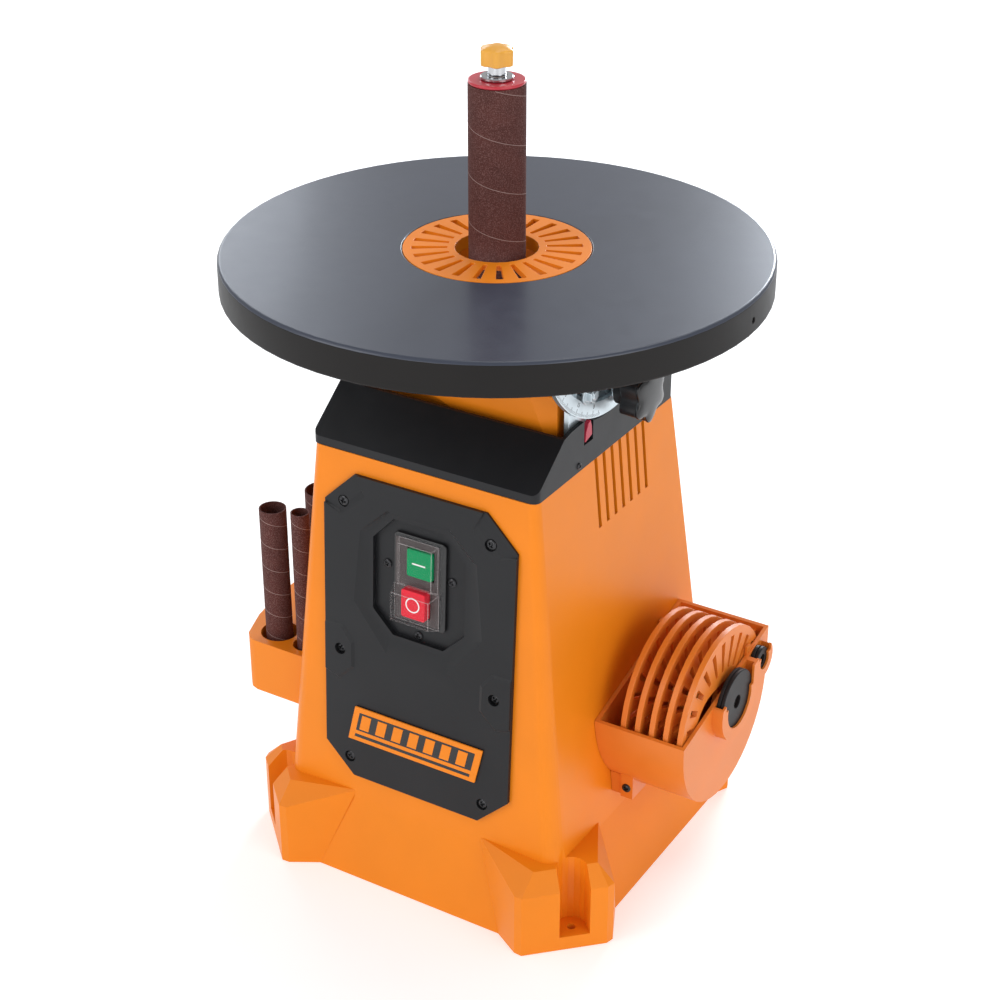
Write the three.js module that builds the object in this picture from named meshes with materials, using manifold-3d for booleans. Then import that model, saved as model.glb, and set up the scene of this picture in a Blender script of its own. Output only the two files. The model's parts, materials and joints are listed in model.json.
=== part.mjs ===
// Oscillating spindle sander: a bench machine with a round tilting table.
// Millimetres. +X right, -Y front (operator side), +Z up; the origin is on the bench
// under the spindle axis.
import * as THREE from 'three';
import { ConvexGeometry } from 'three/addons/geometries/ConvexGeometry.js';
import { mergeVertices } from 'three/addons/utils/BufferGeometryUtils.js';
import Module from 'manifold-3d';

const wasm = await Module();
wasm.setup();

// ---------------------------------------------------------------- driving dimensions
const GAP = 0.3;                 // air between pieces that touch on the real machine
const WALL = 3;                  // moulded shell wall

const BODY_TOP = 333;            // tapered body shell
const BODY_HALF_TOP = 87.75;
const SIDE_TAPER = 0.10;
const FRONT_FOOT = -114.6;       // where the front wall's plane meets the bench
const REAR_FOOT = 128.8;
const FRONT_TAPER = 0.055;
const REAR_TAPER = 0.104;
const LEAN = Math.atan(FRONT_TAPER);
const FLARE_TOP = 58;

const TABLE_R = 185;
const TABLE_TOP = 460;
const TABLE_PLATE = 6.5;
const SKIRT_DEPTH = 23.5;
const SKIRT_WALL = 5;
const INSERT_R = 63;
const INSERT_HOLE = 27.9;
const INSERT_THICK = 4;
const PIVOT_Z = 459.5;           // tilt axis, level with the table surface

const DRUM_R = 19;
const SLEEVE_TOP = 571.8;
const SLEEVE_LENGTH = 140;
const SHAFT_R = 8;

const COVER_HALF = 88;
const COVER_BASE = BODY_TOP + GAP;
const COVER_REAR_TOP = 372;
const BAND_R = 95.8;             // trunnion scale arc, about the pivot
const SLOT_R = 79;               // centre of the slot the studs run in
const SLOT_HALF = 6.1;
const BOLT_R = 3;
const LOCK_Y = 5;
const LOCK_R = 81.4;             // the clamp stud sits low in the slot
const GUIDE_Y = -37;

const HOLDER_Y = 20.5;            // centre of the stored inserts
const HOLDER_Z = 138.5;
const HOLDER_R = 66.4;
const HOLDER_WALL = 2.6;
const HOLDER_X = 176.4;           // outer face of the holder's side panel
const POCKET_X = 184.8;            // outer face of the washer pockets
const INSERT_X = 127.3;          // middle of the stored insert nearest the body
const INSERT_PITCH = 10.9;
const WASHER_POCKETS = [{ y: 24.5, z: 147, r: 24, mouth: 19 }, { y: 64, z: 160.5, r: 9.6, mouth: 7 }];
const RACK_TOP = 150;
const RACK_FLOOR = 114;

const WHEEL_Y = 33;              // worm wheel centre
const WHEEL_Z = 108;

const bodySide = (z) => BODY_HALF_TOP + SIDE_TAPER * (BODY_TOP - z);
const bodyFront = (z) => FRONT_FOOT + FRONT_TAPER * z;
const bodyRear = (z) => REAR_FOOT - REAR_TAPER * z;
const onArc = (r, y) => PIVOT_Z - Math.sqrt(r * r - y * y);

// ---------------------------------------------------------------- materials
const finish = (color, roughness, metalness = 0) =>
  new THREE.MeshStandardMaterial({ color, roughness, metalness });
const ORANGE = finish('#f08c32', 0.45);
const BLACK = finish('#2c2d30', 0.5);
const TABLE_GREY = finish('#4a4e57', 0.55, 0.3);
const ZINC = finish('#b9c4cc', 0.35, 0.8);
const STEEL = finish('#9a9da1', 0.3, 0.9);
const DARK_STEEL = finish('#5c5f63', 0.5, 0.7);
const CAST = finish('#8f9294', 0.6, 0.6);
const RED_RUBBER = finish('#c02842', 0.6);
const BLACK_RUBBER = finish('#26262a', 0.7);
const GRIT = finish('#5f3c37', 0.95);
const YELLOW = finish('#ebab2d', 0.4);
const GREEN = finish('#00965f', 0.4);
const RED = finish('#dc3746', 0.4);
const CLEAR = finish('#d8dee0', 0.2);
const COPPER = finish('#a8642c', 0.5, 0.6);
const BRONZE = finish('#a8813e', 0.4, 0.8);

// ---------------------------------------------------------------- shape helpers
function welded(geometry) {
  const bare = geometry.clone();
  bare.deleteAttribute('normal');
  bare.deleteAttribute('uv');
  return mergeVertices(bare, 1e-4);
}

function toSolid(geometry) {
  const mesh = welded(geometry);
  return new wasm.Manifold(new wasm.Mesh({
    numProp: 3,
    vertProperties: Float32Array.from(mesh.attributes.position.array),
    triVerts: Uint32Array.from(mesh.index.array),
  }));
}

function toGeometry(manifold) {
  const mesh = manifold.getMesh();
  const geometry = new THREE.BufferGeometry();
  geometry.setAttribute('position', new THREE.BufferAttribute(mesh.vertProperties, 3));
  geometry.setIndex(new THREE.BufferAttribute(mesh.triVerts, 1));
  geometry.computeVertexNormals();
  return geometry;
}

const cut = (base, ...tools) =>
  toGeometry(tools.reduce((solid, tool) => solid.subtract(toSolid(tool)), toSolid(base)));
const join = (base, ...others) =>
  toGeometry(others.reduce((solid, other) => solid.add(toSolid(other)), toSolid(base)));
const common = (a, b) => toGeometry(toSolid(a).intersect(toSolid(b)));

const block = (x0, x1, y0, y1, z0, z1) =>
  new THREE.BoxGeometry(x1 - x0, y1 - y0, z1 - z0)
    .translate((x0 + x1) / 2, (y0 + y1) / 2, (z0 + z1) / 2);

const hull = (points) => new ConvexGeometry(points.map((p) => new THREE.Vector3(...p)));

// Round bar along Z, X or Y through the point (a, b) of the other two axes.
const barZ = (r, x, y, z0, z1, sides = 24) =>
  new THREE.CylinderGeometry(r, r, z1 - z0, sides).rotateX(Math.PI / 2).translate(x, y, (z0 + z1) / 2);
const barX = (r, y, z, x0, x1, sides = 24) =>
  new THREE.CylinderGeometry(r, r, x1 - x0, sides).rotateZ(Math.PI / 2).translate((x0 + x1) / 2, y, z);
const barY = (r, x, z, y0, y1, sides = 24) =>
  new THREE.CylinderGeometry(r, r, y1 - y0, sides).translate(x, (y0 + y1) / 2, z);

// Closed (r, z) outline turned about Z.
const turned = (outline, sides = 32) =>
  new THREE.LatheGeometry([...outline, outline[0]].map(([r, z]) => new THREE.Vector2(r, z)), sides)
    .rotateX(Math.PI / 2);
const ring = (outer, inner, z0, z1, sides = 32) =>
  turned([[inner, z0], [outer, z0], [outer, z1], [inner, z1]], sides);

const outlineOf = (points) => new THREE.Shape(points.map(([a, b]) => new THREE.Vector2(a, b)));
const extruded = (shape, depth) =>
  new THREE.ExtrudeGeometry(shape, { depth, bevelEnabled: false, curveSegments: 6 });
// Outline in (x, y) raised along Z, in (y, z) along X, or in (x, z) pushed towards -Y.
const slabZ = (points, z0, z1) => extruded(outlineOf(points), z1 - z0).translate(0, 0, z0);
const slabX = (points, x0, x1) =>
  extruded(outlineOf(points), x1 - x0).applyMatrix4(new THREE.Matrix4().makeBasis(
    new THREE.Vector3(0, 1, 0), new THREE.Vector3(0, 0, 1), new THREE.Vector3(1, 0, 0)))
    .translate(x0, 0, 0);
const slabOut = (points, out0, out1) =>
  extruded(outlineOf(points), out1 - out0).applyMatrix4(new THREE.Matrix4().makeBasis(
    new THREE.Vector3(1, 0, 0), new THREE.Vector3(0, 0, 1), new THREE.Vector3(0, -1, 0)))
    .translate(0, -out0, 0);

// Points of an arc about (cx, cy); angles in degrees, counter-clockwise from the first axis.
const arc = (cx, cy, r, from, to, steps) =>
  Array.from({ length: steps + 1 }, (_, i) => {
    const a = THREE.MathUtils.degToRad(from + (to - from) * i / steps);
    return [cx + r * Math.cos(a), cy + r * Math.sin(a)];
  });

// Rounded rectangle from (x0, y0) to (x1, y1); rear is the radius of its two corners at y1.
const roundedBox = (x0, x1, y0, y1, r, steps = 4, rear = r) => [
  ...arc(x1 - r, y0 + r, r, -90, 0, steps),
  ...arc(x1 - rear, y1 - rear, rear, 0, 90, steps),
  ...arc(x0 + rear, y1 - rear, rear, 90, 180, steps),
  ...arc(x0 + r, y0 + r, r, 180, 270, steps),
];

// Solid through a stack of sections, each a list of [x, y] at a height z.
function lofted(sections) {
  const count = sections[0].points.length;
  const positions = [];
  const index = [];
  for (const { points, z } of sections) {
    for (const [x, y] of points) positions.push(x, y, z);
  }
  for (let level = 0; level < sections.length - 1; level += 1) {
    for (let i = 0; i < count; i += 1) {
      const a = level * count + i;
      const b = level * count + (i + 1) % count;
      index.push(a, b, b + count, a, b + count, a + count);
    }
  }
  const top = (sections.length - 1) * count;
  for (let i = 1; i < count - 1; i += 1) {
    index.push(0, i + 1, i);
    index.push(top, top + i, top + i + 1);
  }
  const geometry = new THREE.BufferGeometry();
  geometry.setAttribute('position', new THREE.Float32BufferAttribute(positions, 3));
  geometry.setIndex(index);
  return geometry;
}

const sander = new THREE.Group();

function place(name, geometry, material, parent = sander) {
  const mesh = new THREE.Mesh(geometry, material);
  mesh.name = name;
  parent.add(mesh);
  return mesh;
}

// ---------------------------------------------------------------- body shell
function bodyLoft(inset, bottom, top) {
  const wallsAt = (z) => ({ z, side: bodySide(z), front: bodyFront(z), rear: bodyRear(z) });
  const levels = [
    { z: bottom, side: 134.5, front: -126, rear: 126, r: 36, rearR: 14 },
    { ...wallsAt(FLARE_TOP), r: 14, rearR: 5 },
    { ...wallsAt(top), r: 7, rearR: 2 },
  ];
  const less = inset * 0.6;
  return lofted(levels.map(({ z, side, front, rear, r, rearR }) => ({
    z,
    points: roundedBox(-side + inset, side - inset, front + inset, rear - inset, r - less, 8, rearR - less),
  })));
}

// The four bench feet: the front pair splays out, the rear pair is tucked in behind the walls.
const FEET = [[1, -1], [-1, -1], [1, 1], [-1, 1]].map(([sx, sy]) => (sy < 0
  ? { sx, bolt: [sx * 123.5, -104], turn: sx * 44 }
  : { sx, bolt: [sx * 115.1, 124.8], turn: 180 - sx * 40 }));

const FRONT_FOOT_POINTS = [[77, -126, 0], [97, -137.6, 0], [103, -138, 0], [147.4, -95, 0], [149, -89, 0],
  [134.8, -59, 0], [97, -137.6, 50], [103, -138, 50], [147.4, -95, 50], [149, -89, 50], [103.3, -122.3, 63],
  [135.9, -89.9, 63], [98, -96, 0], [98, -96, 60], [52.3, -110.4, 65.8], [114, -49.7, 63.4]];
const REAR_FOOT_POINTS = [[134.5, 101, 0], [140.5, 113.5, 0], [139, 118, 0], [104, 147, 0], [98, 147.5, 0],
  [80, 126, 0], [140.5, 113.5, 44], [139, 118, 44], [104, 147, 44], [98, 147.5, 44], [128, 109, 60],
  [98, 134, 60], [90, 104, 0], [90, 104, 60], [114.5, 88, 60], [70, 122.4, 60]];

const footBlock = ({ sx, bolt }) =>
  hull((bolt[1] < 0 ? FRONT_FOOT_POINTS : REAR_FOOT_POINTS).map(([x, y, z]) => [sx * x, y, z]));

function bodyShell() {
  const walls = cut(bodyLoft(0, 0, BODY_TOP), bodyLoft(WALL, -1, BODY_TOP + 1));
  const outer = join(walls, ...FEET.map(footBlock));
  const channels = FEET.map(({ bolt, turn }) => {
    const outline = [[-11, -40], [11, -40], [11, 0], ...arc(0, 0, 11, 0, 180, 8).slice(1, -1), [-11, 0]];
    return slabZ(outline, 11, 90).rotateZ(THREE.MathUtils.degToRad(turn)).translate(...bolt, 0);
  });
  const boltHoles = FEET.map(({ bolt }) => barZ(3.2, ...bolt, -1, 20, 12));
  const vents = [-1, 1].flatMap((side) => Array.from({ length: 7 }, (_, i) => {
    const y = -18 + 11.15 * i;
    return block(side * 100 - 20, side * 100 + 20, y - 2, y + 2, 282, BODY_TOP + 1);
  }));
  const lean = block(-42.5, 42.5, -30, 30, 200, 301.5)
    .translate(0, 0, -200).rotateX(-LEAN).translate(0, bodyFront(200), 200);
  const gland = barY(6.4, 60, 90, 90, 135, 16);
  const bosses = [[70, -76], [-70, -76], [70, 71], [-70, 71]].map(([x, y]) =>
    barZ(8, x, y, 290, 323.6, 12));
  const shell = cut(outer, ...channels, ...boltHoles, ...vents, lean, gland);
  const webs = [[70, -76], [-70, -76], [70, 71], [-70, 71]].map(([x, y]) => {
    const out = y < 0 ? -92.5 : 92.6;
    return block(x - 2, x + 2, Math.min(y, out - 2), Math.max(y, out + 2), 290, 323.6);
  });
  return join(shell, ...bosses, ...webs);
}

function basePlate() {
  const w = 128;
  const d = 116;
  const c = 62;
  const outline = [[-w + c, -d], [w - c, -d], [w, -d + c], [w, d - c], [w - c, d], [-w + c, d],
    [-w, d - c], [-w, -d + c]];
  return slabZ(outline, 1, 4);
}

// ---------------------------------------------------------------- top cover
function topCover() {
  const profile = [[-96, COVER_BASE], [93, COVER_BASE], [93, COVER_REAR_TOP], [20, COVER_REAR_TOP],
    [-38, 367.8], [-52, 367.3], [-61.5, 365.5], [-96, 339.3]];
  const trough = [[-92.6, 336.3], [90, 336.3], [90, 390], [-59, 390], [-59.5, 362.2]];
  const outer = common(
    slabX(profile, -COVER_HALF, COVER_HALF),
    slabZ(roundedBox(-COVER_HALF, COVER_HALF, -96, 93, 5, 4, 2.5), COVER_BASE - 1, 400));
  const notch = barX(BAND_R + 2.7, 0, PIVOT_Z, -120, 120, 64);
  const pointerSlots = block(80, 100, -35, -23, 350, 370);
  const inside = common(
    slabX(trough, -COVER_HALF + WALL, COVER_HALF - WALL),
    slabZ(roundedBox(-COVER_HALF + WALL, COVER_HALF - WALL, -96 + WALL, 93 - WALL, 3, 4, 1), 336, 400));
  return cut(outer, inside, notch, pointerSlots,
    barZ(30, 0, 0, 320, 345, 32));
}

function framePlate() {
  return cut(slabZ(roundedBox(-83.5, 83.5, -90, 85, 6), 324, 330),
    barZ(31, 0, 0, 300, 340, 32));
}

// ---------------------------------------------------------------- front panel, in its own leaning group
const frontPlane = new THREE.Group();
frontPlane.position.set(0, bodyFront(200), 200);
frontPlane.rotation.x = -LEAN;
sander.add(frontPlane);

const PANEL_FACE = 3.3;
const PANEL_FLOOR = -2.2;
const SCREW_SPOTS = [[56.3, 297.5], [-61, 297.5], [63, 182.6], [-63, 182.6], [55.5, 95.5], [-55.5, 95.5]];
const tall = ([x, z]) => [x, z - 200];

function frontPanel() {
  const outline = [[-52.2, 80.8], [52.2, 80.8], [76, 103.4], [76.5, 295.8], [52.2, 319.4],
    [-52.2, 319.4], [-76.5, 295.8], [-76, 103.4]].map(tall);
  const lip = [[-22, 202.6], [22, 202.6], [40, 220], [40, 279], [22, 298], [-22, 298], [-40, 279], [-40, 220]]
    .map(tall);
  const shrink = (points, by) => points.map(([x, z]) => [x * (1 - by / 40), (z - 50) * (1 - by / 44) + 50]);
  const plate = slabOut(outline, GAP, PANEL_FACE);
  const tub = slabOut(lip, PANEL_FLOOR - 2, 1);
  const well = slabOut(shrink(lip, 3), PANEL_FLOOR, PANEL_FACE + 1);
  const switchHole = slabOut(roundedBox(-17.4, 17.4, 22, 82, 2, 2), -10, 2);
  // A shallow funnel round the switch well, deeper at its lower corners.
  const mouth = [[-25, 190.5], [25, 190.5], [52, 224], [46.5, 280], [25, 300], [-25, 300], [-46.5, 280],
    [-52, 224]].map(tall);
  const throat = [[-23, 200.6], [23, 200.6], [41.5, 219], [41.5, 280], [23, 299.4], [-23, 299.4], [-41.5, 280],
    [-41.5, 219]].map(tall);
  const funnel = hull([...mouth.map(([x, z]) => [x, -PANEL_FACE - 0.01, z]),
    ...throat.map(([x, z]) => [x, -PANEL_FACE + 1.7, z])]);
  // Sunk corner at each upper screw, raised pad at each middle screw.
  const corners = [1, -1].map((side) => hull([[51, 321], [43, 305.6], [62, 287.5], [79, 294.5], [79, 321]]
    .flatMap(([x, z], i) => [[side * x, -PANEL_FACE - 0.01, z - 200],
      [side * (i < 4 && i > 0 ? x + 3 : x), -PANEL_FACE + 1.3, z + (i < 3 ? 3 : 0) - 200]])));
  const padOutline = [[76, 203], [60, 203], [50.5, 191], [50, 170], [63.5, 157], [76, 161]];
  const pads = [1, -1].map((side) => hull(padOutline.flatMap(([x, z]) => [
    [side * x, -PANEL_FACE + 0.5, z - 200],
    [side * (74.4 - (74.4 - x) * 0.86), -PANEL_FACE - 1.1, z - 200 + (180 - z) * 0.12]])));
  const pockets = SCREW_SPOTS.map(([x, z]) => barY(4.4, x, z - 200, -PANEL_FACE - 2, -1.1, 16));
  return cut(join(plate, tub, ...pads), well, switchHole, funnel, ...corners, ...pockets);
}

// Push button faces: middle x, width, bottom, top and how far they stand out.
const START = { x: 1, width: 20.2, low: 56, high: 76.6, reach: 2.6 };
const STOP = { x: -1.4, width: 19, low: 26, high: 47, reach: 6.4 };

const buttonSlab = ({ x, width, low, high }, grow, out0, out1) =>
  slabOut(roundedBox(x - width / 2 - grow, x + width / 2 + grow, low - grow, high + grow, 1.5, 2), out0, out1);

function switchBody() {
  const face = slabOut(roundedBox(-20.8, 20.8, 18.5, 85.5, 3, 3), PANEL_FLOOR + GAP, 0.4);
  const box = slabOut(roundedBox(-17, 17, 22.4, 81.6, 2, 2), -34, 0);
  return cut(join(face, box), ...[START, STOP].map((button) => buttonSlab(button, 0.7, -7, 2)));
}

const switchButton = (button) => buttonSlab(button, 0, -3, button.reach);

function switchBoot() {
  const cap = (grow, reach) => lofted([
    { z: 0.7, points: roundedBox(-19.5 - grow, 16.4 + grow, 20 - grow, 83.4 + grow, 4, 3) },
    { z: reach, points: roundedBox(-16.5 - grow, 13.4 + grow, 23 - grow, 80.4 + grow, 4, 3) },
  ]);
  const shell = cut(cap(0, 10.2), cap(-0.8, 9.4).translate(0, 0, -0.02), block(-30, 30, 0, 100, -1, 0.71));
  return shell.rotateX(Math.PI / 2);
}

function badge() {
  const bar = [[-56, -88], [50, -88], [56, -60], [-50, -60]];
  return slabOut(bar, PANEL_FACE + GAP, PANEL_FACE + 2);
}

// ---------------------------------------------------------------- inserts
// A round insert lies on its seat with its top at z = 0. Its hole may be drawn out
// towards -Y for tilted work.
function tableInsert(holeRadius, reach, slotStart, sides = 48, tiltRelief = false) {
  const disc = barZ(INSERT_R, 0, 0, -INSERT_THICK, 0, sides);
  const collar = barZ(holeRadius + 3.2, 0, 0, -9, -1, 24);
  const hole = hull([
    ...arc(0, 0, holeRadius, 0, 360, 24).slice(1).flatMap(([x, y]) => [[x, y, -20], [x, y, 5]]),
    ...arc(0, -reach, holeRadius, 0, 360, 24).slice(1).flatMap(([x, y]) => [[x, y, -20], [x, y, 5]]),
  ]);
  const slots = Array.from({ length: 24 }, (_, i) => {
    const turn = THREE.MathUtils.degToRad(i * 15 + 3);
    const towardsReach = Math.max(0, -Math.sin(turn)) * reach;
    const start = Math.min(50, Math.max(slotStart, holeRadius + towardsReach + 5));
    const narrow = 1.4 * start / 33;
    return slabZ([[start, -narrow], [57, -2.7], [57, 2.7], [start, narrow]], -20, 5).rotateZ(turn);
  });
  const base = reach > 0 ? disc : join(disc, collar);
  const relief = hull([
    ...arc(0, 0, holeRadius, 0, 360, 24).slice(1).map(([x, y]) => [x, y, 0.6]),
    ...arc(0, -11, holeRadius, 0, 360, 24).slice(1).map(([x, y]) => [x, y, -10.4]),
  ]);
  return tiltRelief ? cut(base, hole, relief, ...slots) : cut(base, hole, ...slots);
}

// ---------------------------------------------------------------- table and trunnions
function table() {
  const under = TABLE_TOP - TABLE_PLATE;
  const seat = TABLE_TOP - INSERT_THICK - GAP;
  const skirt = TABLE_TOP - SKIRT_DEPTH;
  const outline = [[58.5, 450.5], [66.5, 450.5], [66.5, under], [TABLE_R - SKIRT_WALL, under],
    [TABLE_R - SKIRT_WALL, skirt], [TABLE_R - 0.8, skirt], [TABLE_R, skirt + 0.8],
    [TABLE_R, TABLE_TOP - 1.6], [TABLE_R - 1.6, TABLE_TOP], [INSERT_R + 0.5, TABLE_TOP],
    [INSERT_R + 0.5, seat], [58.5, seat]];
  const rimHole = barX(2, 0, 446, 170, 190, 12).rotateZ(THREE.MathUtils.degToRad(2));
  return cut(turned(outline, 72), rimHole);
}

// Trunnion plate: an arc band about the tilt axis with a bolt slot, hung from a flange.
function trunnion(side) {
  const flangeZ = TABLE_TOP - TABLE_PLATE - GAP;
  const outline = [[-94.5, flangeZ], ...arc(0, PIVOT_Z, BAND_R, 190, 286.5, 24), [40, flangeZ]];
  const window = [[-57, 443], ...arc(0, PIVOT_Z, 67, 214, 276, 14), [18, 443]];
  const slot = [...arc(0, PIVOT_Z, SLOT_R - SLOT_HALF, 193.5, 281, 16),
    ...arc(0, PIVOT_Z, SLOT_R + SLOT_HALF, 281, 193.5, 16)];
  const plate = cut(slabX(outline, 87.2, 90.4), slabX(window, 80, 95), slabX(slot.reverse(), 80, 95));
  const flange = block(87.2, 103, -94.5, 40, flangeZ - 3, flangeZ);
  return mirrored(join(plate, flange), side);
}

// Left-hand copy of a right-hand piece.
function mirrored(geometry, side) {
  if (side > 0) return geometry;
  const flipped = welded(geometry);
  const position = flipped.attributes.position;
  for (let i = 0; i < position.count; i += 1) position.setX(i, -position.getX(i));
  const index = flipped.index;
  for (let i = 0; i < index.count; i += 3) {
    const first = index.getX(i);
    index.setX(i, index.getX(i + 1));
    index.setX(i + 1, first);
  }
  return flipped;
}

const guideZ = onArc(SLOT_R, GUIDE_Y);
const lockZ = onArc(LOCK_R, LOCK_Y);

// Fixed plate inside the cover wall that carries the trunnion on two studs.
function trunnionBracket(side) {
  const outline = [[-50, 336.7], [32, 336.7], [32, 386], [12, 398], [-42, 398], [-50, 390]];
  const plate = slabX(outline, 80.8, 84.6);
  const pads = [[GUIDE_Y, guideZ], [LOCK_Y, lockZ]].map(([y, z]) => barX(8, y, z, 84, 86.9, 20));
  const holes = [[GUIDE_Y, guideZ, BOLT_R], [LOCK_Y, lockZ, BOLT_R + 0.4]].map(([y, z, r]) =>
    barX(r + GAP, y, z, 70, 95, 20));
  return mirrored(cut(join(plate, ...pads), ...holes), side);
}

function guideBolt(side) {
  const shank = barX(BOLT_R, GUIDE_Y, guideZ, 78, 97.5, 20);
  const washer = barX(7.6, GUIDE_Y, guideZ, 90.7, 92.2, 24);
  const nut = barX(5.8, GUIDE_Y, guideZ, 92.2, 96.4, 6);
  const head = barX(5.8, GUIDE_Y, guideZ, 76.6, 80.5, 6);
  return mirrored(join(shank, washer, nut, head), side);
}

// Lobed hand knob on a stud that clamps the trunnion.
function lockKnob(side) {
  const lobes = Array.from({ length: 42 }, (_, i) => {
    const a = i / 42 * 2 * Math.PI;
    const r = 18.6 - 2.4 * Math.cos(6 * a);
    return [LOCK_Y + r * Math.cos(a), lockZ + r * Math.sin(a)];
  });
  const smaller = (scale) => lobes.map(([y, z]) =>
    [LOCK_Y + (y - LOCK_Y) * scale, lockZ + (z - lockZ) * scale]);
  const grip = slabX(lobes, 101, 114.5);
  const crown = slabX(smaller(0.92), 114.5, 116.5);
  const cap = barX(13, LOCK_Y, lockZ, 116, 118, 20);
  const hub = barX(12, LOCK_Y, lockZ, 92.5, 101.5, 20);
  const washer = barX(9, LOCK_Y, lockZ, 90.7, 92.5, 20);
  const stud = barX(BOLT_R + 0.4, LOCK_Y, lockZ, 78, 93, 20);
  return mirrored(join(grip, crown, cap, hub, washer, stud), side);
}

function tiltPointer() {
  return slabX([[-34, 352], [-25, 354.5], [-25.5, 361], [-27.5, 366], [-30, 364.6], [-33, 359]], 85.4, 88.4);
}

// ---------------------------------------------------------------- dust hood and port
function hoodSolid(inset, floor, rise) {
  const x = 76 - inset;
  const front = -50 + inset;
  const lip = -56 + inset;
  const rear = 66 - inset;
  return hull([
    [x, front, floor], [50, front, floor], [-x, -22 + inset, floor], [x, rear, floor], [-x, rear, floor],
    [x, front, 362], [x, front, 388 + rise], [58, lip, 388 + rise], [-58, lip, 388 + rise],
    [-x, front, 388 + rise], [50, front, 347], [x, 5, 447 + rise], [-x, 5, 447 + rise],
    [x, rear, 447 + rise], [-x, rear, 447 + rise],
  ]);
}

function dustHood() {
  const outer = hoodSolid(0, 336.7, 0);
  const opening = hull([[-73.5, -52.6, 386.5], [73.5, -46, 386.5], [-73.5, -46, 386.5], [73.5, -46, 386.5],
    [-57, -53.4, 386.5], [57, -53.4, 386.5], [-73.5, -46, 470], [73.5, -46, 470], [-57, -53.4, 470],
    [57, -53.4, 470], [-73.5, 63.5, 470], [73.5, 63.5, 470], [-73.5, 63.5, 430], [73.5, 63.5, 430]]);
  return cut(outer, hoodSolid(2.5, 339.4, -1), opening, barZ(22, 0, 0, 330, 345, 32),
    barY(22, 0, 400, 50, 80, 32));
}

function dustPort() {
  const outline = [[22, 66.4], [30, 66.4], [30, 69], [25.4, 69], [25.4, 120], [24.6, 128], [22, 128]];
  return turned(outline, 28).rotateX(-Math.PI / 2).translate(0, 0, 400);
}

// ---------------------------------------------------------------- spindle stack
function spindleShaft() {
  const body = turned([[0, 90], [6.5, 90], [6.5, 94], [9, 95], [9, 123], [SHAFT_R, 124], [SHAFT_R, 424],
    [6.2, 426], [6.2, 576.8], [0, 576.8]], 24);
  return body;
}

function rubberDrum() {
  const lip = SLEEVE_TOP + GAP;
  return turned([[6.6, 431], [17, 431], [18, 432], [18, lip], [DRUM_R - 0.1, lip],
    [DRUM_R - 0.1, 573.6], [DRUM_R - 0.6, 574.1], [6.6, 574.1]], 32);
}

const sandingSleeve = () => ring(DRUM_R, 18.35, SLEEVE_TOP - SLEEVE_LENGTH, SLEEVE_TOP, 40);

const spindleWasher = () => ring(10.9, 6.6, 574.4, 576.6, 24);

function spindleKnob() {
  const lobes = Array.from({ length: 36 }, (_, i) => {
    const a = i / 36 * 2 * Math.PI;
    const r = 10.6 + 0.9 * Math.cos(6 * a);
    return [r * Math.cos(a), r * Math.sin(a)];
  });
  const grip = slabZ(lobes, 583.4, 594.4);
  const crown = slabZ(lobes.map(([x, y]) => [x * 0.86, y * 0.86]), 594, 596);
  return join(barZ(5.9, 0, 0, 577.1, 584, 24), grip, crown);
}

// ---------------------------------------------------------------- drive
function guideRod(side) {
  return barZ(6, side * 62, 0, 68.4, 323.7, 16);
}

function carriage() {
  const bridge = slabZ(roundedBox(-74, 74, -24, 24, 12), 284, 306);
  const bushings = [-62, 62].map((x) => barZ(13, x, 0, 262, 312, 16));
  const neck = barZ(24, 0, 0, 300, 314, 24);
  return cut(join(bridge, ...bushings, neck), barZ(17.8, 0, 0, 296, 320, 24), barZ(12, 0, 0, 280, 300, 16),
    ...[-62, 62].map((x) => barZ(6.4, x, 0, 250, 320, 16)));
}

const bearing = (outer, inner, z0, z1) => ring(outer, inner, z0, z1, 24);

function lowerEndBell() {
  const disc = barZ(46, 0, 0, 146, 159.6, 32);
  const arm = block(7.6, 11.6, 20, 46, 98, 147);
  const rib = hull([[7.6, 20, 147], [11.6, 20, 147], [7.6, 46, 147], [11.6, 46, 147],
    [-4, 30, 147], [-4, 40, 147], [7.6, 30, 143.5], [7.6, 40, 143.5]]);
  return cut(join(disc, arm, rib), barZ(14.3, 0, 0, 147.6, 165, 32), barZ(10, 0, 0, 140, 150, 24),
    barX(4.35, WHEEL_Y, WHEEL_Z, 0, 20, 20));
}

function rotorFan() {
  const hub = ring(14, 8.35, 262, 274, 16);
  const blades = Array.from({ length: 8 }, (_, i) =>
    block(12, 39, -0.9, 0.9, 262, 274).rotateZ(i * Math.PI / 4));
  return join(hub, ...blades);
}

function wormWheel() {
  const teeth = Array.from({ length: 68 }, (_, i) => {
    const a = i / 68 * 2 * Math.PI;
    const r = i % 2 < 1 ? 23.4 : 21.6;
    return [WHEEL_Y + r * Math.cos(a), WHEEL_Z + r * Math.sin(a)];
  });
  const disc = slabX(teeth, -5, 5);
  const axle = barX(4, WHEEL_Y, WHEEL_Z, 4, 13, 20);
  const crank = barX(12, WHEEL_Y, WHEEL_Z, 12.2, 16, 28);
  const pin = barX(3, WHEEL_Y, WHEEL_Z + 8, 15, 26, 16);
  return join(disc, axle, crank, pin);
}

// Lower bridge of the frame, with the yoke plate that the crank pin works in.
function lowerFrame() {
  const bridge = slabZ(roundedBox(-78, 78, -26, 60, 8), 62, 68);
  const legs = [-78, 74].map((x) => block(x, x + 4, -22, 22, 4.3, 64));
  const yoke = cut(block(19.6, 23.6, 10, 58, 66, 135), block(10, 30, 19.5, 46.5, 87.5, 129));
  return join(bridge, ...legs, yoke);
}

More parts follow.
